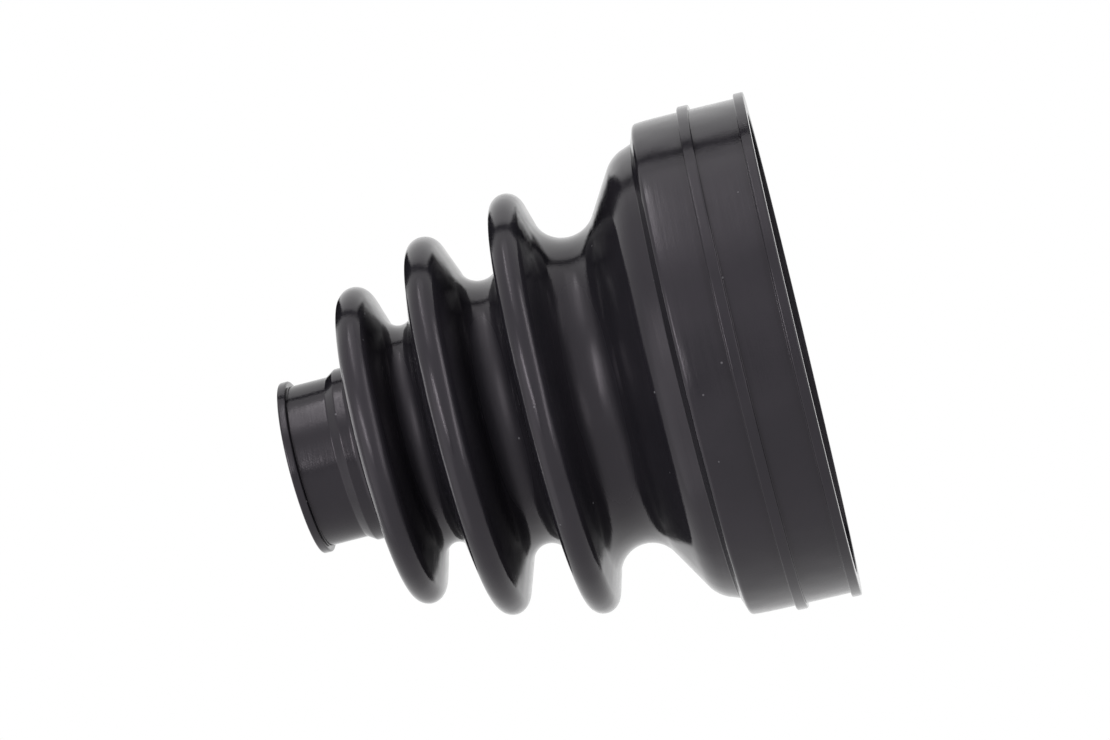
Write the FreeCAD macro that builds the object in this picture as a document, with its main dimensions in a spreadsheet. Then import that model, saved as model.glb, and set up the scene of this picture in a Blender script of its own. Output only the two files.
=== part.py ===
"""Rubber bellows boot of a drive shaft joint, moulded in one piece.

Millimetres. The boot is a body of revolution about the Z axis. It stands on
its large end face, which lies in the plane Z = 0, and its small collar is at
the top. From the bottom up it has the large collar with its clamp seat, a
neck, three folds that get smaller, and the small collar with its clamp seat.
"""
import FreeCAD
import Part

import math
import os
from collections import namedtuple

import Sketcher

NODE = "bellows_boot"

# Driving sizes: name, value and meaning. A rise is the height between the
# centres of two neighbouring curves, counted from the bottom up.
SIZES = (
    ("large_bore_radius", 44.0, "inside of the large collar, on the joint housing"),
    ("large_wall", 3.0, "wall of the large collar under its clamp"),
    ("end_lip_width", 1.9, "lip at the large end face, along the axis"),
    ("end_lip_height", 0.85, "that lip above the clamp seat"),
    ("large_seat_length", 8.4, "clamp seat of the large collar"),
    ("middle_bead_width", 2.1, "bead above the large clamp seat"),
    ("middle_bead_height", 0.95, "that bead above the clamp seat"),
    ("land_length", 8.5, "plain band between the bead and the step"),
    ("step_slant", 1.35, "height over which the collar steps in to the neck"),
    ("step_depth", 3.6, "how far the collar stands out from the foot of the neck"),
    ("stop_wall", 2.2, "wall over the stop that the housing butts against"),
    ("collar_round", 1.4, "rounding of the collar's upper edge"),
    ("neck_taper", 0.3, "how far the knee's curve lies inside the foot of the neck"),
    ("knee_drop", 0.5, "centre of the knee's curve below the foot of the neck"),
    ("knee_inner_round", 3.9, "inside radius of the knee"),
    ("root_3_rise", 15.4, "knee to the lowest root"),
    ("crest_3_rise", 10.25, "lowest root to the lowest crest"),
    ("root_2_rise", 7.6, "lowest crest to the middle root"),
    ("crest_2_rise", 9.2, "middle root to the middle crest"),
    ("root_1_rise", 7.5, "middle crest to the upper root"),
    ("crest_1_rise", 7.3, "upper root to the upper crest"),
    ("shoulder_rise", 5.0, "upper crest to the fillet under the shoulder"),
    ("root_3_radius", 29.45, "outside of the boot at its lowest root"),
    ("root_2_radius", 25.35, "outside of the boot at its middle root"),
    ("root_1_radius", 20.95, "outside of the boot at its upper root"),
    ("crest_3_radius", 40.25, "outside of the lowest and largest fold"),
    ("crest_2_radius", 36.35, "outside of the middle fold"),
    ("crest_1_radius", 30.5, "outside of the upper fold"),
    ("root_3_round", 6.6, "curve of the lowest root, seen from outside"),
    ("root_2_round", 4.0, "curve of the middle root"),
    ("root_1_round", 2.7, "curve of the upper root"),
    ("crest_inner_round", 0.6, "inside radius of every crest"),
    ("fold_wall", 1.9, "wall of the folds and of the knee"),
    ("shoulder_round", 1.2, "fillet from the shoulder to the upper fold"),
    ("small_bore_radius", 12.5, "inside of the small collar, on the shaft"),
    ("small_wall", 2.9, "wall of the small collar under its clamp"),
    ("shoulder_height", 1.1, "shoulder above the small clamp seat"),
    ("shoulder_length", 2.2, "straight side of the shoulder"),
    ("shoulder_slant", 1.1, "height over which the shoulder falls to the clamp seat"),
    ("shoulder_edge", 0.5, "rounding between the shoulder's side and its slant"),
    ("small_seat_length", 7.6, "clamp seat of the small collar"),
    ("small_lip_width", 1.6, "lip at the small end face, along the axis"),
    ("small_lip_height", 1.1, "that lip above the small clamp seat"),
    ("edge_round", 0.3, "rounding of the edges of lips and bead"),
    ("sealing_groove_width", 1.2, "each groove in the bores, along the axis"),
    ("sealing_groove_depth", 0.5, "each groove into the wall of its bore"),
    ("sealing_groove_margin", 1.2, "lower edge of a clamp seat to the first groove"),
    ("large_groove_span", 4.8, "first to last groove in the large bore"),
    ("small_groove_span", 3.4, "first to last groove in the small bore"),
    ("large_groove_count", 3, "sealing grooves in the large bore"),
    ("small_groove_count", 2, "sealing grooves in the small bore"),
)

# The curves of the bellows from the bottom up: name and which way it bulges.
CURVES = (
    ("knee", "crest"),
    ("root_3", "root"),
    ("crest_3", "crest"),
    ("root_2", "root"),
    ("crest_2", "crest"),
    ("root_1", "root"),
    ("crest_1", "crest"),
    ("shoulder", "root"),
)

ORIGIN = (-1, 1)
START = 1
END = 2
CENTRE = 3
RIGHT_ANGLE = math.pi / 2.0
HALF_TURN = math.pi
FULL_TURN_DEGREES = 360.0
CUTTER_OVERRUN = 0.5

Curve = namedtuple("Curve", "name kind centre outer inner")


def make_sheet(document):
    """Put the driving sizes into a spreadsheet, one named cell each."""
    sheet = document.addObject("Spreadsheet::Sheet", "Sizes")
    for row, (name, value, meaning) in enumerate(SIZES, start=1):
        sheet.set("A%d" % row, name)
        sheet.set("B%d" % row, str(value))
        sheet.set("C%d" % row, meaning)
        sheet.setAlias("B%d" % row, name)
    document.recompute()
    return sheet


def read_sheet(sheet):
    """Sizes of the sheet by name."""
    return {name: float(sheet.get(name)) for name, value, meaning in SIZES}


def total(*terms):
    """Formula that adds up cells of the sheet. A minus sign takes one away."""
    text = ""
    for term in terms:
        text += " - " if term.startswith("-") else " + "
        text += "Sizes." + term.lstrip("-")
    return text[3:]


def polar(centre, radius, angle):
    """Point at an angle on a circle in the plane of the sketch."""
    return (centre[0] + radius * math.cos(angle), centre[1] + radius * math.sin(angle))


class Outline:
    """Closed run of lines and arcs in a sketch, each joined to the one before.

    In the sketch, X is the distance from the axis and Y is the height.
    """

    def __init__(self, sketch, start):
        self.sketch = sketch
        self.point = start
        self.first = None
        self.last = None
        self.rules = []
        self.named = []

    def rule(self, *words):
        """Keep a constraint until the whole outline is drawn."""
        self.rules.append(Sketcher.Constraint(*words))

    def place(self, shape, entry, leave, tangent):
        """Add a line or an arc whose entry is where the last one ended."""
        number = self.sketch.addGeometry(shape, False)
        if self.last is None:
            self.first = (number, entry)
        else:
            self.rule("Tangent" if tangent else "Coincident", *self.last, number, entry)
        self.last = (number, leave)
        return number

    def line(self, end, direction=None, tangent=False):
        """Line to a point. The direction is Horizontal, Vertical or free."""
        ends = (FreeCAD.Vector(*self.point, 0.0), FreeCAD.Vector(*end, 0.0))
        number = self.place(Part.LineSegment(*ends), START, END, tangent)
        if direction:
            self.rule(direction, number)
        self.point = end
        return number

    def arc(self, centre, radius, angle, end_angle, tangent=True):
        """Arc about a centre, clockwise where the end angle is the smaller."""
        circle = Part.Circle(FreeCAD.Vector(*centre, 0.0), FreeCAD.Vector(0.0, 0.0, 1.0), radius)
        low = min(angle, end_angle)
        high = max(angle, end_angle)
        entry, leave = (START, END) if end_angle > angle else (END, START)
        number = self.place(Part.ArcOfCircle(circle, low, high), entry, leave, tangent)
        self.point = polar(centre, radius, end_angle)
        return number

    def corner(self, radius, angle, end_angle):
        """Arc from the present point that rounds an edge."""
        return self.arc(polar(self.point, -radius, angle), radius, angle, end_angle)

    def ridge(self, outside, top, inside, edge):
        """Ring that stands out from the wall: out, up, and in to a radius."""
        out = self.line((outside - edge, self.point[1]), "Horizontal")
        lower = self.corner(edge, -RIGHT_ANGLE, 0.0)
        side = self.line((outside, top - edge), "Vertical", tangent=True)
        upper = self.corner(edge, 0.0, RIGHT_ANGLE)
        back = self.line((inside, top), "Horizontal", tangent=True)
        self.size("Radius", None, total("edge_round"), lower, edge)
        self.size("Radius", None, total("edge_round"), upper, edge)
        return out, side, back

    def step_in(self, size, corner, depth, slant, edge, tangent=False):
        """Upright side, rounded edge and slanted step in towards the axis.

        Depth, slant and edge are names of sizes. The corner, where side and step
        would meet without the rounding, is kept as a point of its own.
        """
        lean = math.atan2(size[depth], size[slant])
        setback = size[edge] * math.tan(lean / 2.0)
        side = self.line((corner[0], corner[1] - setback), "Vertical", tangent)
        rounding = self.corner(size[edge], 0.0, lean)
        step = self.line((corner[0] - size[depth], corner[1] + size[slant]), tangent=True)
        sharp = self.sketch.addGeometry(Part.Point(FreeCAD.Vector(*corner, 0.0)), True)
        self.rule("PointOnObject", sharp, START, side)
        self.rule("PointOnObject", sharp, START, step)
        self.size("Radius", edge, total(edge), rounding, size[edge])
        self.along(slant, total(slant), (sharp, START), (step, END))
        self.across(depth, total(depth), (step, END), (sharp, START))
        return side, sharp, step

    def close(self):
        """Join the last piece to the first."""
        self.rule("Coincident", *self.last, *self.first)

    def size(self, kind, name, text, *where):
        """Constraint with a value that a formula of the sheet sets."""
        self.named.append((len(self.rules), name, text))
        self.rule(kind, *where)

    def across(self, name, text, first, second):
        """Size between two points, measured away from the axis."""
        span = self.sketch.getPoint(*second).x - self.sketch.getPoint(*first).x
        self.size("DistanceX", name, text, *first, *second, span)

    def along(self, name, text, first, second):
        """Size between two points, measured up the axis."""
        span = self.sketch.getPoint(*second).y - self.sketch.getPoint(*first).y
        self.size("DistanceY", name, text, *first, *second, span)

    def finish(self):
        """Add the constraints together and bind their values to the sheet."""
        offset = self.sketch.ConstraintCount
        self.sketch.addConstraint(self.rules)
        for index, name, text in self.named:
            path = "Constraints[%d]" % (offset + index)
            if name:
                self.sketch.renameConstraint(offset + index, name)
                path = "Constraints." + name
            self.sketch.setExpression(path, text)


def bellows_curves(size):
    """Centre and both radii of each curve of the bellows, from the bottom up."""
    seat = size["large_bore_radius"] + size["large_wall"]
    height = size["end_lip_width"] + size["large_seat_length"]
    height += size["middle_bead_width"] + size["land_length"]
    height += size["step_slant"] - size["knee_drop"]
    curves = []
    for name, kind in CURVES:
        height += size.get(name + "_rise", 0.0)
        if kind == "crest":
            inner = size["crest_inner_round"]
            outside = size.get(name + "_radius")
            if name == "knee":
                inner = size["knee_inner_round"]
                outside = seat - size["step_depth"] - size["neck_taper"]
            outer = inner + size["fold_wall"]
            centre = (outside - outer, height)
        else:
            outer = size[name + "_round"]
            outside = size.get(name + "_radius")
            if name == "shoulder":
                outside = size["small_bore_radius"] + size["small_wall"]
                outside += size["shoulder_height"]
            inner = outer + size["fold_wall"]
            centre = (outside + outer, height)
        curves.append(Curve(name, kind, centre, outer, inner))
    return curves


def flank_angle(lower, upper):
    """Angle of the outward normal of the straight flank between two curves."""
    across = upper.centre[0] - lower.centre[0]
    along = upper.centre[1] - lower.centre[1]
    lean = math.acos((lower.outer + upper.outer) / math.hypot(across, along))
    toward = math.atan2(along, across)
    if lower.kind == "crest":
        return toward - lean
    return toward + lean - HALF_TURN


def neck_angle(size, knee):
    """Angle of the outward normal of the straight neck, from its foot to the knee."""
    across = knee.outer + size["neck_taper"]
    along = size["knee_drop"]
    return math.atan2(along, across) + math.acos(knee.outer / math.hypot(across, along))


def curve_angles(size, curves):
    """Angles on each curve's circle where it starts and ends, going up."""
    flanks = [flank_angle(lower, upper) for lower, upper in zip(curves, curves[1:])]
    starts = [neck_angle(size, curves[0])] + flanks
    ends = flanks + [0.0]
    turns = [0.0 if curve.kind == "crest" else HALF_TURN for curve in curves]
    return [(turn + start, turn + end) for turn, start, end in zip(turns, starts, ends)]


def draw_large_collar(outline, size):
    """Outside of the large collar, from the end face up to the foot of the neck."""
    bore = size["large_bore_radius"]
    seat = bore + size["large_wall"]
    edge = size["edge_round"]
    lip_top = size["end_lip_width"]
    bead_low = lip_top + size["large_seat_length"]
    bead_top = bead_low + size["middle_bead_width"]
    corner = (seat, bead_top + size["land_length"])

    face, lip, lip_back = outline.ridge(seat + size["end_lip_height"], lip_top, seat, edge)
    outline.rule("PointOnObject", face, START, -1)
    outline.across("large_bore_radius", total("large_bore_radius"), ORIGIN, (face, START))
    outline.along("end_lip_width", total("end_lip_width"), (face, START), (lip_back, END))
    outline.across("end_lip_height", total("end_lip_height"), (lip_back, END), (lip, START))

    clamp_seat = outline.line((seat, bead_low), "Vertical")
    outline.across("large_wall", total("large_wall"), (face, START), (clamp_seat, START))
    outline.along(
        "large_seat_length", total("large_seat_length"), (clamp_seat, START), (clamp_seat, END)
    )

    bead_out, bead, bead_back = outline.ridge(
        seat + size["middle_bead_height"], bead_top, seat, edge
    )
    outline.along(
        "middle_bead_width", total("middle_bead_width"), (bead_out, START), (bead_back, END)
    )
    outline.across(
        "middle_bead_height", total("middle_bead_height"), (bead_back, END), (bead, START)
    )
    outline.rule("Vertical", clamp_seat, START, bead_back, END)

    sharp, step = outline.step_in(size, corner, "step_depth", "step_slant", "collar_round")[1:]
    outline.along("land_length", total("land_length"), (bead_back, END), (sharp, START))
    return face, sharp, step


def draw_folds_outside(outline, curves, angles, step):
    """Outside of the folds, from the foot of the neck up to the shoulder's fillet."""
    arcs = []
    for curve, (start, end) in zip(curves, angles):
        outline.line(polar(curve.centre, curve.outer, start), tangent=bool(arcs))
        arc = outline.arc(curve.centre, curve.outer, start, end)
        name = curve.name
        if name == "knee":
            radius = total("knee_inner_round", "fold_wall")
            reach = total("neck_taper", "knee_inner_round", "fold_wall")
            outline.across("neck_taper", reach, (arc, CENTRE), (step, END))
            outline.along("knee_drop", total("knee_drop"), (arc, CENTRE), (step, END))
        elif curve.kind == "crest":
            radius = total("crest_inner_round", "fold_wall")
            reach = total(name + "_radius", "-crest_inner_round", "-fold_wall")
            outline.across(name + "_radius", reach, ORIGIN, (arc, CENTRE))
        else:
            radius = total(name + "_round")
            if name != "shoulder":
                reach = total(name + "_radius", name + "_round")
                outline.across(name + "_radius", reach, ORIGIN, (arc, CENTRE))
        outline.size("Radius", name + "_round", radius, arc, curve.outer)
        if arcs:
            rise = name + "_rise"
            outline.along(rise, total(rise), (arcs[-1], CENTRE), (arc, CENTRE))
        arcs.append(arc)
    return arcs


def draw_small_collar(outline, size, shoulder):
    """Outside of the small collar, from the shoulder to the small end face."""
    bore = size["small_bore_radius"]
    seat = bore + size["small_wall"]
    edge = size["edge_round"]
    corner = (seat + size["shoulder_height"], shoulder.centre[1] + size["shoulder_length"])
    seat_top = corner[1] + size["shoulder_slant"] + size["small_seat_length"]
    top = seat_top + size["small_lip_width"]

    side, sharp, step = outline.step_in(
        size, corner, "shoulder_height", "shoulder_slant", "shoulder_edge", tangent=True
    )
    outline.along("shoulder_length", total("shoulder_length"), (side, START), (sharp, START))

    clamp_seat = outline.line((seat, seat_top), "Vertical")
    outline.along(
        "small_seat_length", total("small_seat_length"), (clamp_seat, START), (clamp_seat, END)
    )
    lip_out, lip, face = outline.ridge(seat + size["small_lip_height"], top, bore, edge)
    outline.along("small_lip_width", total("small_lip_width"), (lip_out, START), (face, END))
    outline.across("small_lip_height", total("small_lip_height"), (clamp_seat, END), (lip, START))
    outline.across("small_wall", total("small_wall"), (face, END), (clamp_seat, START))
    outline.across("small_bore_radius", total("small_bore_radius"), ORIGIN, (face, END))
    return clamp_seat


def draw_inside(outline, size, curves, angles, arcs, clamp_seat, face, sharp):
    """Inside of the boot, from the small bore down to the large end face."""
    seat_low = outline.sketch.getPoint(clamp_seat, START).y
    stop = outline.sketch.getPoint(sharp, START).y - size["stop_wall"]
    bore = outline.line((size["small_bore_radius"], seat_low), "Vertical")
    outline.rule("Horizontal", bore, END, clamp_seat, START)
    shoulder = curves[-1]
    outline.line(polar(shoulder.centre, shoulder.inner, HALF_TURN))

    # The same curves as outside, about the same centres, one wall further in. The
    # knee's runs on until it is upright, and goes down to the stop from there.
    for index in range(len(curves) - 1, -1, -1):
        curve = curves[index]
        start, end = angles[index]
        if curve.name == "knee":
            start = 0.0
        smooth = curve.name != "shoulder"
        if smooth:
            outline.line(polar(curve.centre, curve.inner, end), tangent=True)
        arc = outline.arc(curve.centre, curve.inner, end, start, tangent=smooth)
        outline.rule("Coincident", arc, CENTRE, arcs[index], CENTRE)
        if curve.name == "knee":
            radius = total("knee_inner_round")
        elif curve.kind == "crest":
            radius = total("crest_inner_round")
        else:
            radius = total(curve.name + "_round", "fold_wall")
        outline.size("Radius", None, radius, arc, curve.inner)
        if not smooth:
            outline.rule("Horizontal", arc, CENTRE, arc, END if start < end else START)

    neck_radius = outline.point[0]
    outline.line((neck_radius, stop), "Vertical", tangent=True)
    stop_face = outline.line((size["large_bore_radius"], stop), "Horizontal")
    outline.along("stop_wall", total("stop_wall"), (stop_face, END), (sharp, START))
    outline.line((size["large_bore_radius"], 0.0), "Vertical")
    outline.close()


def new_sketch(body, name):
    """Sketch on the body's XZ plane: X away from the axis, Y up."""
    sketch = body.newObject("Sketcher::SketchObject", name)
    plane = [item for item in body.Origin.OriginFeatures if item.Role == "XZ_Plane"][0]
    sketch.AttachmentSupport = (plane, [""])
    sketch.MapMode = "FlatFace"
    return sketch


def make_wall(body, size):
    """Revolve the moulded section of the boot into its wall."""
    sketch = new_sketch(body, "moulded_section")
    curves = bellows_curves(size)
    angles = curve_angles(size, curves)
    outline = Outline(sketch, (size["large_bore_radius"], 0.0))
    face, sharp, step = draw_large_collar(outline, size)
    arcs = draw_folds_outside(outline, curves, angles, step)
    clamp_seat = draw_small_collar(outline, size, curves[-1])
    draw_inside(outline, size, curves, angles, arcs, clamp_seat, face, sharp)
    outline.finish()

    # A measured height, for the grooves that sit under the small clamp seat.
    seat_low = sketch.getPoint(clamp_seat, START).y
    rule = Sketcher.Constraint("DistanceY", *ORIGIN, clamp_seat, START, seat_low)
    number = sketch.addConstraint(rule)
    sketch.setDriving(number, False)
    sketch.renameConstraint(number, "small_seat_height")

    wall = body.newObject("PartDesign::Revolution", "revolved_wall")
    wall.Profile = (sketch, [""])
    wall.ReferenceAxis = (sketch, ["V_Axis"])
    wall.Angle = FULL_TURN_DEGREES
    body.Document.recompute()
    return sketch


def make_sealing_grooves(body, size, end, first_height, height_formula):
    """Cut a row of grooves into one bore, which leaves sealing ribs between."""
    bore = size[end + "_bore_radius"]
    width = size["sealing_groove_width"]
    sketch = new_sketch(body, end + "_groove_section")
    outline = Outline(sketch, (bore - CUTTER_OVERRUN, first_height))
    lower = outline.line((bore + size["sealing_groove_depth"], first_height), "Horizontal")
    floor = outline.line((bore + size["sealing_groove_depth"], first_height + width), "Vertical")
    outline.line((bore - CUTTER_OVERRUN, first_height + width), "Horizontal")
    outline.line((bore - CUTTER_OVERRUN, first_height), "Vertical")
    outline.close()
    reach = total(end + "_bore_radius", "sealing_groove_depth")
    start = total(end + "_bore_radius") + " - %s" % CUTTER_OVERRUN
    outline.across("floor_radius", reach, ORIGIN, (floor, START))
    outline.across("start_radius", start, ORIGIN, (lower, START))
    outline.along("width", total("sealing_groove_width"), (floor, START), (floor, END))
    outline.along("height", height_formula, ORIGIN, (lower, START))
    outline.finish()

    groove = body.newObject("PartDesign::Groove", end + "_groove")
    groove.Profile = (sketch, [""])
    groove.ReferenceAxis = (sketch, ["V_Axis"])
    groove.Angle = FULL_TURN_DEGREES
    body.Document.recompute()

    row = body.newObject("PartDesign::LinearPattern", end + "_groove_row")
    row.Originals = [groove]
    row.Direction = (sketch, ["V_Axis"])
    row.setExpression("Length", total(end + "_groove_span"))
    row.setExpression("Occurrences", total(end + "_groove_count"))
    body.Tip = row
    body.Document.recompute()


def make_boot(document, size):
    """The whole boot, as one body."""
    body = document.addObject("PartDesign::Body", "BellowsBoot")
    body.Label = NODE
    section = make_wall(body, size)
    margin = size["sealing_groove_margin"]
    make_sealing_grooves(
        body,
        size,
        "large",
        size["end_lip_width"] + margin,
        total("end_lip_width", "sealing_groove_margin"),
    )
    make_sealing_grooves(
        body,
        size,
        "small",
        section.getDatum("small_seat_height").Value + margin,
        section.Name + ".Constraints.small_seat_height + " + total("sealing_groove_margin") + " * 1 mm",
    )
    return body


def check(document, body):
    """Stop before anything is written if an object has failed."""
    for item in document.Objects:
        if "Invalid" in item.State or "Error" in item.State:
            raise RuntimeError(item.Label + " has failed")
        if item.TypeId == "Sketcher::SketchObject" and not item.FullyConstrained:
            raise RuntimeError(item.Label + " is not fully constrained")
    if body.Shape.isNull() or not body.Shape.isValid() or len(body.Shape.Solids) != 1:
        raise RuntimeError(body.Label + " is not one valid solid")


def main():
    document = FreeCAD.newDocument("BellowsBoot")
    size = read_sheet(make_sheet(document))
    body = make_boot(document, size)
    document.recompute()
    check(document, body)
    os.makedirs("parts", exist_ok=True)
    body.Shape.exportStep("parts/" + body.Label + ".step")
    box = body.Shape.optimalBoundingBox(False, False)
    print("%s: %.2f by %.2f by %.2f mm" % (body.Label, box.XLength, box.YLength, box.ZLength))
    print("volume %.0f cubic mm" % body.Shape.Volume)


main()
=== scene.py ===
"""Looks of a moulded rubber bellows boot that stands on its large end.

The frame is that of the CAD model: the boot's axis is Z, its large end face
lies in the plane Z = 0 and its small collar is at the top. Sizes of the boot
are in millimetres and become metres in the mesh. The studio is in metres.
"""
import math
from collections import namedtuple

import bmesh
import bpy
from mathutils import Matrix, Vector


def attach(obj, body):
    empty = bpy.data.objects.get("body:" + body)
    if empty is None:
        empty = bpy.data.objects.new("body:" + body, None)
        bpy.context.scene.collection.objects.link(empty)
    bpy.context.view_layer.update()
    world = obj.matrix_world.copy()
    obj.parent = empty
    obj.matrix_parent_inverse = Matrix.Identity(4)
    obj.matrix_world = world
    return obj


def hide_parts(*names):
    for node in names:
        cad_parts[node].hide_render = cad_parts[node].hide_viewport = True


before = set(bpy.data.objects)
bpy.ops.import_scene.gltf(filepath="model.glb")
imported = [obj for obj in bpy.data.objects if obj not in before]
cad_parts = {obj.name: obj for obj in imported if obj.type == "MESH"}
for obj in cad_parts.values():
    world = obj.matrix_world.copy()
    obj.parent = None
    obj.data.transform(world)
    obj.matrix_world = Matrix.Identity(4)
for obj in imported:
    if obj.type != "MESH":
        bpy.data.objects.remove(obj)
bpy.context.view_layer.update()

MM_PER_METRE = 1000.0
RIGHT_ANGLE = math.pi / 2

# Camera: a little under the plane of the large end face, looking across the
# axis. It is rolled over, so that the standing boot lies in the picture as it
# does in the photo.
CAMERA_PLACE = Vector((0.0, -0.67971, -0.0095))
CAMERA_AIM = Vector((0.00577, 0.0, 0.04601))
CAMERA_ROLL = math.radians(103.38)
CAMERA_LENS_MM = 118.59
SENSOR_WIDTH_MM = 36.0
CAMERA_CLIP_START = 0.01

# Large collar, from the end face up: radii and heights.
LARGE_BORE = 44.0
LARGE_SEAT = 47.0
END_LIP = 47.85
END_LIP_TOP = 1.9
BEAD = 47.95
BEAD_LOW = 10.3
BEAD_TOP = 12.4
COLLAR_TOP = 20.9
COLLAR_ROUND = 0.8
NECK = 43.4
NECK_FOOT = 22.1
STOP_HEIGHT = 18.7

# Crown of the land above the bead: radius, height where it starts, and the
# share of it that is drawn before the edge's rounding takes over.
LAND_CROWN = 110.0
LAND_CROWN_LOW = 14.5
LAND_CROWN_SHARE = 0.8

# Small collar, up to the small end face: radii and heights.
SMALL_BORE = 12.5
SMALL_SEAT = 15.4
SHOULDER = 16.5
SHOULDER_TOP = 85.9
SHOULDER_EDGE = 0.5
SMALL_SEAT_LOW = 87.6
SMALL_SEAT_TOP = 94.9
SMALL_LIP = 16.5
TOP = 96.5
EDGE_ROUND = 0.3

# Curves of the folds, going up from the knee to the fillet under the shoulder:
# kind, outermost or innermost radius, height, and round of the outside.
Curve = namedtuple("Curve", "kind reach height outer")
CURVES = (
    Curve("crest", 43.1, 21.75, 6.6),
    Curve("root", 29.45, 37.3, 6.2),
    Curve("crest", 40.25, 47.3, 2.9),
    Curve("root", 25.35, 55.0, 4.0),
    Curve("crest", 36.35, 64.0, 3.0),
    Curve("root", 20.95, 71.7, 2.7),
    Curve("crest", 30.5, 78.85, 2.9),
    Curve("root", 16.5, 84.0, 1.0),
)
Arc = namedtuple("Arc", "kind centre outer start end")
FOLD_WALL = 1.9

# Grooves of both bores, between which the sealing ribs stand.
GROOVE_WIDTH = 1.2
GROOVE_DEPTH = 0.5
LARGE_GROOVES = (3.1, 5.5, 7.9)
SMALL_GROOVES = (88.5, 91.9)

# Slight lean of the soft boot away from its axis, as it seems to lie in the photo.
LEAN_PER_MM = 0.000264

# The two upper roots lie a little to one side. The shift is a wave along the
# axis with its peak at the upper root. It fades in from below and out above.
# Its size here is half of the largest shift.
ROOT_SHIFT = 0.22
ROOT_SHIFT_PEAK = 71.7
ROOT_SHIFT_PITCH = 16.6
ROOT_SHIFT_LOW = 42.0
ROOT_SHIFT_FADE_IN = 16.0
ROOT_SHIFT_TOP = 80.0
ROOT_SHIFT_FADE_OUT = 6.0

# Swell of the rings, which are not perfect circles: size, waves round the boot,
# phase, and the height over which the phase moves on by one radian.
SWELLS = (
    (0.05, 3, 0.9, 19.0),
    (0.04, 5, -1.7, -11.0),
)
SWELL_FADE_IN = 25.0

# Fineness of the boot's mesh: steps round the axis, longest steps along the
# section, the distance from the ends of a straight run to its next points, and
# the length that counts as none.
AROUND = 168
OUTSIDE_STEP = 1.0
INSIDE_STEP = 2.5
ARC_STEP = 0.5
ARC_STEPS_LEAST = 4
SUPPORT = 0.15
NO_LENGTH = 1e-6

# Dark flags: their number of steps, and the place they stand round. A flag's band
# widens from one tilt on, over some more degrees, and moves sideways by a share
# of the widening.
FLAG_STEPS = 48
FLAG_MIDDLE = Vector((0.03, 0.0, 0.045))
TOWARD_CAMERA = Vector((0.0, -1.0, 0.0))
WIDENING_FROM = 25.0
WIDENING_OVER = 25.0
WIDENING_SHIFT = 0.28

LAMP_TARGET = Vector((0.0, 0.0, 0.048))

# World: its light for diffuse rays, the share of its white that gloss sees after
# the first bounce, and the depth that parts the first bounce from later ones.
SOFT_LIGHT = 0.3
LATER_GLOSS = 0.25
FIRST_BOUNCE_BELOW = 1.5

# The floor lies just under the end face, so that the two are not in one plane.
FLOOR = -0.0001
FLOOR_HALF_WIDTH = 3.0
FLOOR_COLOUR = (0.85, 0.85, 0.85, 1.0)
FLOOR_ROUGHNESS = 0.9

WHITE = (1.0, 1.0, 1.0, 1.0)
BLACK = (0.0, 0.0, 0.0, 1.0)

# Rubber: its two tones, the colour of its dust, and the share of cells without
# dust. Then what dust, the skin at its edges, the skin seen squarely, flow marks
# and deep roots add to the roughness.
RUBBER_DARK = (0.016, 0.015, 0.019, 1.0)
RUBBER_LIGHT = (0.022, 0.020, 0.025, 1.0)
DUST = (0.16, 0.155, 0.17, 1.0)
CLEAN_CELLS = 0.93
DUST_ROUGHNESS = 0.4
EDGE_ROUGHNESS = 0.09
SQUARE_ROUGHNESS = 0.14
FLOW_ROUGHNESS = 0.04
ROOT_ROUGHNESS = 0.2
RUBBER_IOR = 1.4
RUBBER_TINT = (1.0, 0.92, 1.0, 1.0)

# Fineness of the patterns, and how quickly flow marks change round the boot and
# along it.
RIPPLE_SCALE = 130.0
GRAIN_SCALE = 2600.0
CLOUD_SCALE = 45.0
DUST_SCALE = 420.0
FLOW_AROUND = 1.6
FLOW_ALONG = 1400.0

# Heights of the bumps, in metres.
RIPPLE_BUMP = 0.00012
FLOW_BUMP = 0.000020
GRAIN_BUMP = 0.000015

# Sockets of a Mix node that mixes colours.
MIX_FACTOR = 0
MIX_FIRST = 6
MIX_SECOND = 7
MIX_RESULT = 2


def add_object(name, data):
    """Object of the scene, with its data."""
    item = bpy.data.objects.new(name, data)
    bpy.context.scene.collection.objects.link(item)
    return item


def make_camera():
    """Camera at the photo's viewing angle, with no shift."""
    data = bpy.data.cameras.new("camera")
    data.lens = CAMERA_LENS_MM
    data.sensor_width = SENSOR_WIDTH_MM
    data.clip_start = CAMERA_CLIP_START
    camera = add_object("camera", data)
    look = (CAMERA_AIM - CAMERA_PLACE).to_track_quat("-Z", "Y").to_matrix().to_4x4()
    roll = Matrix.Rotation(-CAMERA_ROLL, 4, "Z")
    camera.matrix_world = Matrix.Translation(CAMERA_PLACE) @ look @ roll
    bpy.context.scene.camera = camera


def polar(centre, radius, angle):
    """Point at an angle on a circle in the plane of the section."""
    return (
        centre[0] + radius * math.cos(angle),
        centre[1] + radius * math.sin(angle),
    )


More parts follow.
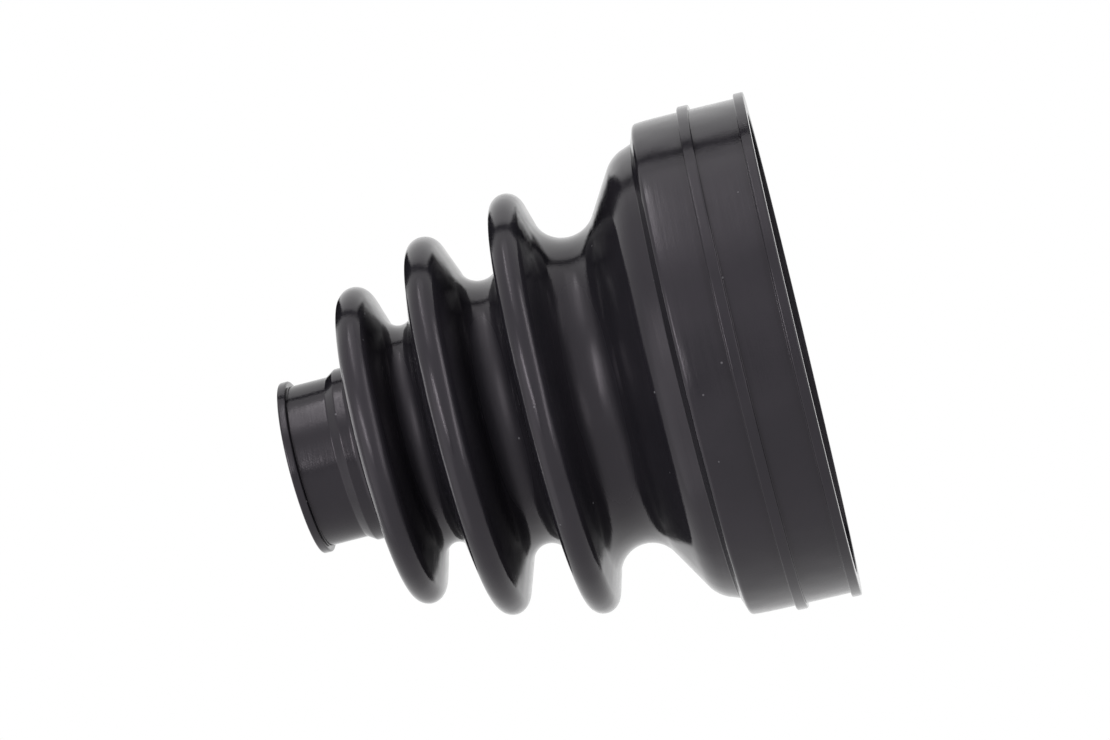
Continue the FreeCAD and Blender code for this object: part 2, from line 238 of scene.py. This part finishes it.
class Path:
    """Points of the section, in order, each a radius and a height."""

    def __init__(self, start, step):
        self.points = [start]
        self.step = step

    def line(self, end):
        """Straight run, with a point close to each of its ends."""
        start = self.points[-1]
        length = math.hypot(end[0] - start[0], end[1] - start[1])
        if length < NO_LENGTH:
            return
        stops = []
        if length > 4 * SUPPORT:
            count = max(1, math.ceil((length - 2 * SUPPORT) / self.step))
            span = (length - 2 * SUPPORT) / count
            stops = [SUPPORT + span * index for index in range(count + 1)]
        for stop in stops + [length]:
            share = stop / length
            self.points.append(
                (start[0] + share * (end[0] - start[0]), start[1] + share * (end[1] - start[1]))
            )

    def arc(self, centre, radius, start, end):
        """Arc, reached by a straight run from the last point."""
        self.line(polar(centre, radius, start))
        count = max(ARC_STEPS_LEAST, math.ceil(abs(end - start) * radius / ARC_STEP))
        for index in range(1, count + 1):
            self.points.append(polar(centre, radius, start + (end - start) * index / count))

    def step_in(self, corner, foot, radius, start=0.0):
        """Side, rounded edge at a corner and slanted step to a foot."""
        slant = math.atan2(corner[0] - foot[0], foot[1] - corner[1])
        setback = radius * math.tan(slant / 2)
        self.arc((corner[0] - radius, corner[1] - setback), radius, start, slant)
        self.line(foot)

    def rounded(self, corner, radius, start, end):
        """Rounded right-angled edge at a corner, entered at the start angle."""
        middle = (start + end) / 2
        centre = polar(corner, -radius * math.sqrt(2), middle)
        self.arc(centre, radius, start, end)

    def groove(self, bore, low):
        """Groove in a bore, on the way down to its lower edge."""
        high = low + GROOVE_WIDTH
        self.line((bore, high))
        self.line((bore + GROOVE_DEPTH, high))
        self.line((bore + GROOVE_DEPTH, low))
        self.line((bore, low))


def centre_of(curve):
    """Centre of a curve of the folds, in the plane of the section."""
    inward = -curve.outer if curve.kind == "crest" else curve.outer
    return (curve.reach + inward, curve.height)


def flank_angle(lower, upper):
    """Angle of the outward normal of the straight flank between two curves."""
    low = centre_of(lower)
    high = centre_of(upper)
    across = high[0] - low[0]
    along = high[1] - low[1]
    lean = math.acos((lower.outer + upper.outer) / math.hypot(across, along))
    toward = math.atan2(along, across)
    if lower.kind == "crest":
        return toward - lean
    return toward + lean - math.pi


def neck_angle(knee):
    """Angle of the outward normal of the neck, from its foot to the knee."""
    across = NECK - (knee.reach - knee.outer)
    along = NECK_FOOT - knee.height
    return math.atan2(along, across) + math.acos(knee.outer / math.hypot(across, along))


def fold_arcs():
    """Outside arc of each curve of the folds, going up."""
    flanks = [flank_angle(lower, upper) for lower, upper in zip(CURVES, CURVES[1:])]
    starts = [neck_angle(CURVES[0])] + flanks
    ends = flanks + [0.0]
    arcs = []
    for curve, start, end in zip(CURVES, starts, ends):
        turn = 0.0 if curve.kind == "crest" else math.pi
        arcs.append(Arc(curve.kind, centre_of(curve), curve.outer, turn + start, turn + end))
    return arcs


def inner_round(arc):
    """Round of the inside of a fold, one wall in from the outside."""
    return arc.outer + FOLD_WALL if arc.kind == "root" else arc.outer - FOLD_WALL


def draw_outside(path, arcs):
    """Outside of the boot, from the large end face up to the small one."""
    path.rounded((END_LIP, 0.0), EDGE_ROUND, -RIGHT_ANGLE, 0.0)
    path.rounded((END_LIP, END_LIP_TOP), EDGE_ROUND, 0.0, RIGHT_ANGLE)
    path.line((LARGE_SEAT, END_LIP_TOP))
    path.line((LARGE_SEAT, BEAD_LOW))
    path.rounded((BEAD, BEAD_LOW), EDGE_ROUND, -RIGHT_ANGLE, 0.0)
    path.rounded((BEAD, BEAD_TOP), EDGE_ROUND, 0.0, RIGHT_ANGLE)
    path.line((LARGE_SEAT, BEAD_TOP))
    crown = math.asin((COLLAR_TOP - LAND_CROWN_LOW) / LAND_CROWN)
    corner = LARGE_SEAT - LAND_CROWN * (1 - math.cos(crown))
    crown_centre = (LARGE_SEAT - LAND_CROWN, LAND_CROWN_LOW)
    path.arc(crown_centre, LAND_CROWN, 0.0, LAND_CROWN_SHARE * crown)
    path.step_in((corner, COLLAR_TOP), (NECK, NECK_FOOT), COLLAR_ROUND, crown)
    for arc in arcs:
        path.arc(arc.centre, arc.outer, arc.start, arc.end)
    path.step_in((SHOULDER, SHOULDER_TOP), (SMALL_SEAT, SMALL_SEAT_LOW), SHOULDER_EDGE)
    path.line((SMALL_SEAT, SMALL_SEAT_TOP))
    path.rounded((SMALL_LIP, SMALL_SEAT_TOP), EDGE_ROUND, -RIGHT_ANGLE, 0.0)
    path.rounded((SMALL_LIP, TOP), EDGE_ROUND, 0.0, RIGHT_ANGLE)
    path.line((SMALL_BORE, TOP))


def draw_inside(path, arcs):
    """Inside of the boot, from the small end face down to the large one."""
    for low in reversed(SMALL_GROOVES):
        path.groove(SMALL_BORE, low)
    path.line((SMALL_BORE, SMALL_SEAT_LOW))
    for arc in reversed(arcs):
        path.arc(arc.centre, inner_round(arc), arc.end, arc.start)
    # The knee's curve runs on until it is upright, and goes down to the stop.
    knee = arcs[0]
    path.arc(knee.centre, inner_round(knee), knee.start, 0.0)
    path.line((path.points[-1][0], STOP_HEIGHT))
    path.line((LARGE_BORE, STOP_HEIGHT))
    for low in reversed(LARGE_GROOVES):
        path.groove(LARGE_BORE, low)
    path.line((LARGE_BORE, 0.0))


def section():
    """Closed moulded section: up the outside, and down the inside."""
    arcs = fold_arcs()
    path = Path((LARGE_BORE, 0.0), OUTSIDE_STEP)
    draw_outside(path, arcs)
    path.step = INSIDE_STEP
    draw_inside(path, arcs)
    # The last point is the first one again.
    path.points.pop()
    return path.points


def root_shift(height):
    """How far the middle of the boot lies off its axis near the two upper roots."""
    share = min(
        1.0,
        max(0.0, (height - ROOT_SHIFT_LOW) / ROOT_SHIFT_FADE_IN),
        max(0.0, (ROOT_SHIFT_TOP - height) / ROOT_SHIFT_FADE_OUT),
    )
    wave = math.cos(2 * math.pi * (height - ROOT_SHIFT_PEAK) / ROOT_SHIFT_PITCH)
    return share * ROOT_SHIFT * (1.0 + wave)


def leaned(radius, angle, height):
    """Place of a point of the section, turned about the leaning axis."""
    swell = 0.0
    for size, waves, phase, pitch in SWELLS:
        swell += size * math.sin(waves * angle + phase + height / pitch)
    swell *= min(1.0, height / SWELL_FADE_IN)
    radius += swell
    lean = LEAN_PER_MM * height
    middle = -(1.0 - math.cos(lean)) / LEAN_PER_MM + root_shift(height)
    rise = math.sin(lean) / LEAN_PER_MM
    out = radius * math.cos(angle)
    return Vector((
        middle + out * math.cos(lean),
        radius * math.sin(angle),
        rise + out * math.sin(lean),
    )) / MM_PER_METRE


def make_boot(material):
    """Fine mesh of the boot with its lean and swell, in place of the CAD solid."""
    points = section()
    mesh = bmesh.new()
    rings = []
    for index in range(AROUND):
        angle = 2 * math.pi * index / AROUND
        rings.append([mesh.verts.new(leaned(radius, angle, height)) for radius, height in points])
    for index, ring in enumerate(rings):
        following = rings[(index + 1) % AROUND]
        for place in range(len(points)):
            after = (place + 1) % len(points)
            mesh.faces.new((ring[place], following[place], following[after], ring[after]))
    data = bpy.data.meshes.new("moulded_boot")
    mesh.to_mesh(data)
    mesh.free()
    data.shade_smooth()
    data.materials.append(material)
    boot = add_object("moulded_boot", data)
    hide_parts("bellows_boot")
    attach(boot, "root")


class Nodes:
    """Short ways to add and link the nodes of one tree."""

    def __init__(self, tree):
        self.tree = tree

    def add(self, kind, settings=None, **inputs):
        """Node with its settings and inputs. An input's _ stands for a space."""
        node = self.tree.nodes.new(kind)
        for name, value in (settings or {}).items():
            setattr(node, name, value)
        for name, value in inputs.items():
            self.put(node, name.replace("_", " "), value)
        return node

    def put(self, node, name, value):
        """Link a socket to an input, or set the input's value."""
        socket = node.inputs[name]
        if isinstance(value, bpy.types.NodeSocket):
            self.tree.links.new(value, socket)
        else:
            socket.default_value = value

    def math(self, operation, *values):
        """Result of a Math node."""
        node = self.add("ShaderNodeMath", {"operation": operation})
        for index, value in enumerate(values):
            self.put(node, index, value)
        return node.outputs[0]

    def noise(self, vector, scale, detail=2.0, roughness=0.5):
        """Strength of a noise texture."""
        node = self.add(
            "ShaderNodeTexNoise", Vector=vector, Scale=scale, Detail=detail, Roughness=roughness
        )
        return node.outputs["Fac"]

    def smooth(self, value, low, high, start=0.0, end=1.0):
        """Value that goes softly from start to end, while another goes from low to high."""
        node = self.add(
            "ShaderNodeMapRange",
            {"interpolation_type": "SMOOTHSTEP"},
            Value=value,
            From_Min=low,
            From_Max=high,
            To_Min=start,
            To_Max=end,
        )
        return node.outputs["Result"]

    def bump(self, height, distance, below=None):
        """Normal of a bump, on top of the bumps below it."""
        node = self.add("ShaderNodeBump", Distance=distance, Height=height)
        if below is not None:
            self.put(node, "Normal", below)
        return node.outputs["Normal"]

    def mix_colour(self, factor, first, second):
        """Colour between two others."""
        node = self.add("ShaderNodeMix", {"data_type": "RGBA"})
        self.put(node, MIX_FACTOR, factor)
        self.put(node, MIX_FIRST, first)
        self.put(node, MIX_SECOND, second)
        return node.outputs[MIX_RESULT]

    def mix_shader(self, factor, first, second, out):
        """Shader between two others, linked to the tree's output node."""
        mix = self.add("ShaderNodeMixShader")
        for index, value in enumerate((factor, first, second)):
            self.put(mix, index, value)
        self.put(out, "Surface", mix.outputs[0])


def make_world():
    """White surroundings for the camera and for gloss, softer light else.

    Later glossy bounces see less of the white, so that flanks that mirror each
    other stay dark.
    """
    world = bpy.data.worlds.new("studio")
    world.use_nodes = True
    bpy.context.scene.world = world
    world.node_tree.nodes.clear()
    nodes = Nodes(world.node_tree)
    rays = nodes.add("ShaderNodeLightPath").outputs
    first_bounce = nodes.math("LESS_THAN", rays["Glossy Depth"], FIRST_BOUNCE_BELOW)
    gloss = nodes.math("MULTIPLY_ADD", first_bounce, 1.0 - LATER_GLOSS, LATER_GLOSS)
    gloss = nodes.math("MULTIPLY", gloss, rays["Is Glossy Ray"])
    whiteness = nodes.math("MAXIMUM", rays["Is Camera Ray"], gloss)
    whiteness = nodes.math("MAXIMUM", whiteness, rays["Is Transmission Ray"])
    soft = nodes.add("ShaderNodeBackground", Color=WHITE, Strength=SOFT_LIGHT)
    white = nodes.add("ShaderNodeBackground", Color=WHITE, Strength=1.0)
    out = nodes.add("ShaderNodeOutputWorld")
    nodes.mix_shader(whiteness, soft.outputs[0], white.outputs[0], out)


def make_lamp(name, azimuth, rise, distance, width, height, glow, turn=0.0):
    """Area lamp. Azimuth from the camera's side towards +X, rise towards +Z.

    The turn tips its upper edge sideways, about the line to the boot.
    """
    azimuth = math.radians(azimuth)
    rise = math.radians(rise)
    toward = Vector((
        math.sin(azimuth) * math.cos(rise),
        -math.cos(azimuth) * math.cos(rise),
        math.sin(rise),
    ))
    data = bpy.data.lights.new(name, "AREA")
    data.shape = "RECTANGLE"
    data.size = width
    data.size_y = height
    data.energy = glow * math.pi * width * height
    lamp = add_object(name, data)
    place = LAMP_TARGET + toward * distance
    facing = toward.to_track_quat("Z", "Y").to_matrix().to_4x4()
    tip = Matrix.Rotation(math.radians(turn), 4, "Z")
    lamp.matrix_world = Matrix.Translation(place) @ facing @ tip
    lamp.visible_camera = False


def plain_material(name, colour, roughness):
    """Material of one colour and roughness."""
    material = bpy.data.materials.new(name)
    material.use_nodes = True
    shader = material.node_tree.nodes["Principled BSDF"]
    shader.inputs["Base Color"].default_value = colour
    shader.inputs["Roughness"].default_value = roughness
    return material


def make_flag(name, half_angle, band, low, high, distance, widening=0.0):
    """Dark curved flag round the boot.

    A mirror-like point of the boot shows the flag where its outward normal
    stands about the half angle away from the camera's side, towards +X,
    and tilts up by an angle between low and high. The band grows wider at
    steep tilts, by the widening.
    """
    inner = []
    outer = []
    for index in range(FLAG_STEPS + 1):
        tilt = low + (high - low) * index / FLAG_STEPS
        steep = min(1.0, max(0.0, (abs(tilt) - WIDENING_FROM) / WIDENING_OVER))
        middle = half_angle + WIDENING_SHIFT * widening * steep
        half_band = (band + widening * steep) / 2
        tilt = math.radians(tilt)
        for turn, row in ((middle - half_band, inner), (middle + half_band, outer)):
            turn = math.radians(turn)
            normal = Vector((
                math.cos(tilt) * math.sin(turn),
                -math.cos(tilt) * math.cos(turn),
                math.sin(tilt),
            ))
            mirrored = 2 * normal.dot(TOWARD_CAMERA) * normal - TOWARD_CAMERA
            row.append(mirrored * distance + FLAG_MIDDLE)
    data = bpy.data.meshes.new(name)
    count = len(inner)
    faces = [(i, i + 1, count + i + 1, count + i) for i in range(count - 1)]
    data.from_pydata(inner + outer, [], faces)
    material = plain_material(name, BLACK, 1.0)
    shader = material.node_tree.nodes["Principled BSDF"]
    shader.inputs["Specular IOR Level"].default_value = 0.0
    data.materials.append(material)
    flag = add_object(name, data)
    flag.visible_camera = False
    flag.visible_diffuse = False
    flag.visible_shadow = False


def make_floor():
    """Plain pale floor, just under the end face. From below it is clear."""
    half = FLOOR_HALF_WIDTH
    corners = [(x * half, y * half, FLOOR) for x, y in ((-1, -1), (1, -1), (1, 1), (-1, 1))]
    data = bpy.data.meshes.new("floor")
    data.from_pydata(corners, [], [(0, 1, 2, 3)])
    material = plain_material("pale_floor", FLOOR_COLOUR, FLOOR_ROUGHNESS)
    nodes = Nodes(material.node_tree)
    shader = material.node_tree.nodes["Principled BSDF"]
    out = material.node_tree.nodes["Material Output"]
    clear = nodes.add("ShaderNodeBsdfTransparent")
    side = nodes.add("ShaderNodeNewGeometry")
    nodes.mix_shader(side.outputs["Backfacing"], shader.outputs[0], clear.outputs[0], out)
    data.materials.append(material)
    floor = add_object("floor", data)
    floor.visible_glossy = False
    floor.visible_diffuse = False
    floor.visible_shadow = False


def make_rubber():
    """Black moulded rubber: satin skin, soft ripples, flow marks and dust."""
    material = bpy.data.materials.new("boot_rubber")
    material.use_nodes = True
    nodes = Nodes(material.node_tree)
    shader = material.node_tree.nodes["Principled BSDF"]
    place = nodes.add("ShaderNodeTexCoord").outputs["Object"]

    # Coordinates that run round the boot: slow around, quick along the axis.
    split = nodes.add("ShaderNodeSeparateXYZ", Vector=place)
    flat = nodes.add("ShaderNodeCombineXYZ", X=split.outputs["X"], Y=split.outputs["Y"])
    unit = nodes.add("ShaderNodeVectorMath", {"operation": "NORMALIZE"})
    nodes.put(unit, 0, flat.outputs[0])
    turn = nodes.add("ShaderNodeSeparateXYZ", Vector=unit.outputs[0])
    run = nodes.add(
        "ShaderNodeCombineXYZ",
        X=nodes.math("MULTIPLY", turn.outputs["X"], FLOW_AROUND),
        Y=nodes.math("MULTIPLY", turn.outputs["Y"], FLOW_AROUND),
        Z=nodes.math("MULTIPLY", split.outputs["Z"], FLOW_ALONG),
    ).outputs[0]

    ripples = nodes.noise(place, RIPPLE_SCALE, 1.0)
    grain = nodes.noise(place, GRAIN_SCALE, 3.0, 0.6)
    flow = nodes.noise(run, 1.0, 3.0, 0.6)
    cloud = nodes.noise(place, CLOUD_SCALE, 4.0, 0.6)

    normal = nodes.bump(ripples, RIPPLE_BUMP)
    normal = nodes.bump(flow, FLOW_BUMP, normal)
    normal = nodes.bump(grain, GRAIN_BUMP, normal)

    # Faint clouds, and a few specks of dust: small dots in some of the cells.
    tone = nodes.smooth(cloud, 0.3, 0.7)
    colour = nodes.mix_colour(tone, RUBBER_DARK, RUBBER_LIGHT)
    specks = nodes.add("ShaderNodeTexVoronoi", Vector=place, Scale=DUST_SCALE)
    pick = nodes.add("ShaderNodeSeparateColor")
    nodes.put(pick, 0, specks.outputs["Color"])
    small = nodes.smooth(specks.outputs["Distance"], 0.05, 0.11, 1.0, 0.0)
    rare = nodes.math("GREATER_THAN", pick.outputs[0], CLEAN_CELLS)
    dust = nodes.math("MULTIPLY", small, rare)
    colour = nodes.mix_colour(dust, colour, DUST)

    # Satin where it is seen squarely, glossier towards its edges, and dull in the
    # roots. Limits are radii and heights in metres.
    reach = nodes.add("ShaderNodeVectorMath", {"operation": "LENGTH"})
    nodes.put(reach, 0, flat.outputs[0])
    deep = nodes.smooth(reach.outputs["Value"], 0.025, 0.034, ROOT_ROUGHNESS, 0.0)
    below_collar = nodes.smooth(split.outputs["Z"], 0.077, 0.083, 1.0, 0.0)
    deep = nodes.math("MULTIPLY", deep, below_collar)
    facing = nodes.add("ShaderNodeLayerWeight", Blend=0.5).outputs["Facing"]
    square = nodes.smooth(facing, 0.22, 0.42, 1.0, 0.0)
    roughness = nodes.math("MULTIPLY", nodes.math("ADD", deep, SQUARE_ROUGHNESS), square)
    roughness = nodes.math("ADD", roughness, EDGE_ROUGHNESS)
    roughness = nodes.math("ADD", roughness, nodes.smooth(flow, 0.3, 0.7, 0.0, FLOW_ROUGHNESS))
    roughness = nodes.math("ADD", roughness, nodes.math("MULTIPLY", dust, DUST_ROUGHNESS))

    nodes.put(shader, "Base Color", colour)
    nodes.put(shader, "Roughness", roughness)
    nodes.put(shader, "Normal", normal)
    nodes.put(shader, "IOR", RUBBER_IOR)
    nodes.put(shader, "Specular Tint", RUBBER_TINT)
    return material


def make_lamps():
    """Lamps of the studio. The glow sets how bright a lamp's face is at any size."""
    make_lamp("softbox", 74.0, 2.0, 1.2, width=1.15, height=0.6, glow=0.5)
    make_lamp("softbox_core", 75.0, 10.5, 1.1, width=0.66, height=0.06, glow=9.0)
    make_lamp("window", 14.0, 23.5, 1.0, width=0.58, height=0.1, glow=17.0, turn=22.0)
    make_lamp("low_strip", 30.0, -54.0, 1.0, width=1.3, height=0.2, glow=4.5)
    make_lamp("collar_light", -20.0, 54.0, 1.0, width=1.5, height=0.7, glow=0.6)
    make_lamp("end_light", 180.0, 68.0, 1.0, width=0.6, height=0.6, glow=1.5)


make_camera()
make_world()
make_floor()
make_lamps()
make_flag("dark_flag", half_angle=56.5, band=3.4, low=-72.0, high=72.0, distance=2.0, widening=18.0)
make_flag("front_flag", half_angle=0.0, band=13.0, low=2.0, high=8.0, distance=2.0)
make_boot(make_rubber())
bpy.context.scene.view_settings.view_transform = "Standard"
